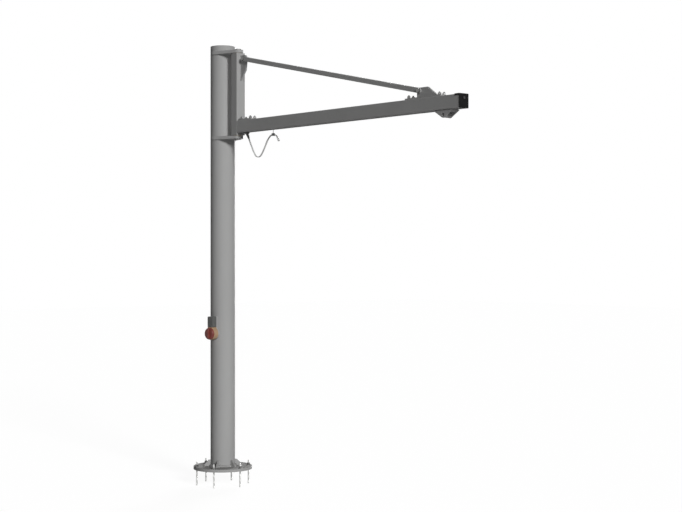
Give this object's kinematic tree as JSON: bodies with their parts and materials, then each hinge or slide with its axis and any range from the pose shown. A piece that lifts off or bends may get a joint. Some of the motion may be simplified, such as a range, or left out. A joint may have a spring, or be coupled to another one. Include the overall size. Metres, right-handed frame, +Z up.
{
  "type": "pillar jib crane",
  "caption": "Light pillar jib crane: round column on a bolted base plate, swivelling track arm held by a tie rod, load trolley, festoon cable and main switch.",
  "frame": {"origin": "centre of the anchor circle on the underside of the base plate, on the column's axis", "axes": "+Z up the column; +X along the jib at rest; the switch is on the -Y side"},
  "size_m": [2.5289, 0.4, 3.004],
  "materials": {
    "paint": "satin",
    "steel": "zinc plated",
    "bronze": "plain",
    "black_plastic": "matte",
    "rubber": "matte",
    "cable": "matte",
    "socket": "matte",
    "wheel": "satin",
    "enclosure": "satin",
    "yellow": "gloss",
    "red": "gloss"
  },
  "bodies": {
    "pillar": {"base_plate": "paint", "column": "paint", "foot_ribs": "paint", "anchor_studs": "steel", "anchor_washers": "steel", "anchor_nuts": "steel", "column_cap": "paint", "upper_lug": "paint", "lower_lug": "paint", "upper_bush": "bronze", "lower_bush": "bronze", "switch_saddle": "paint", "switch_box": "enclosure", "switch_block": "black_plastic", "switch_cover": "yellow", "switch_plate": "enclosure", "switch_screws": "steel"},
    "switch_knob": {"switch_handle": "red", "switch_spindle": "steel"},
    "jib": {"mast": "paint", "mast_top_plate": "paint", "mast_bottom_plate": "paint", "upper_pivot": "steel", "lower_pivot": "steel", "pivot_nuts": "steel", "beam": "paint", "root_plate": "paint", "root_bolts": "steel", "root_nut_strip": "steel", "tie_lug": "paint", "upper_clevis": "paint", "lower_clevis": "paint", "upper_tie_bolt": "steel", "lower_tie_bolt": "steel", "upper_tie_nut": "steel", "lower_tie_nut": "steel", "tie_rod": "paint", "tie_bracket": "paint", "bracket_bolts": "steel", "bracket_nut_strip": "steel", "end_cap": "black_plastic", "cap_screw": "steel", "outer_buffer": "rubber", "cable_gland": "black_plastic", "gland_plate": "steel", "gland_screw": "steel", "festoon_cable": "cable"},
    "load_trolley": {"trolley_plate": "paint", "trolley_axles": "steel"},
    "front_wheelset": {"front_wheels": "wheel"},
    "rear_wheelset": {"rear_wheels": "wheel"},
    "cable_trolley": {"cable_trolley_frame": "black_plastic", "cable_saddle": "black_plastic", "saddle_screws": "steel", "cable_axles": "steel", "cable_connector": "socket"},
    "cable_front_wheelset": {"cable_front_wheels": "wheel"},
    "cable_rear_wheelset": {"cable_rear_wheels": "wheel"}
  },
  "joints": [
    {"name": "switch_turn", "type": "hinge", "parent": "pillar", "child": "switch_knob", "pos_m": [0.0175, -0.08231, 0.93], "axis": [0.2079, -0.9781, 0], "range_deg": [0, 90]},
    {"name": "slew", "type": "hinge", "parent": "pillar", "child": "jib", "pos_m": [0.177, 0, 2.272], "axis": [0, 0, 1], "range_deg": [-135, 135]},
    {"name": "load_travel", "type": "slide", "parent": "jib", "child": "load_trolley", "axis": [1, 0, 0], "range_m": [-1.35, 0]},
    {"name": "front_roll", "type": "hinge", "parent": "load_trolley", "child": "front_wheelset", "pos_m": [2.236, 0, 2.3143], "axis": [0, 1, 0], "continuous": true},
    {"name": "rear_roll", "type": "hinge", "parent": "load_trolley", "child": "rear_wheelset", "pos_m": [2.136, 0, 2.3143], "axis": [0, 1, 0], "continuous": true},
    {"name": "cable_travel", "type": "slide", "parent": "jib", "child": "cable_trolley", "axis": [1, 0, 0], "range_m": [-0.1, 0.1], "deforming": ["festoon_cable"]},
    {"name": "cable_front_roll", "type": "hinge", "parent": "cable_trolley", "child": "cable_front_wheelset", "pos_m": [0.585, 0, 2.3083], "axis": [0, 1, 0], "continuous": true},
    {"name": "cable_rear_roll", "type": "hinge", "parent": "cable_trolley", "child": "cable_rear_wheelset", "pos_m": [0.551, 0, 2.3083], "axis": [0, 1, 0], "continuous": true}
  ],
  "couplings": [
    {"joint": "front_roll", "follows": "load_travel", "rad_per_m": 55.556},
    {"joint": "rear_roll", "follows": "load_travel", "rad_per_m": 55.556},
    {"joint": "cable_front_roll", "follows": "cable_travel", "rad_per_m": 83.333},
    {"joint": "cable_rear_roll", "follows": "cable_travel", "rad_per_m": 83.333}
  ]
}
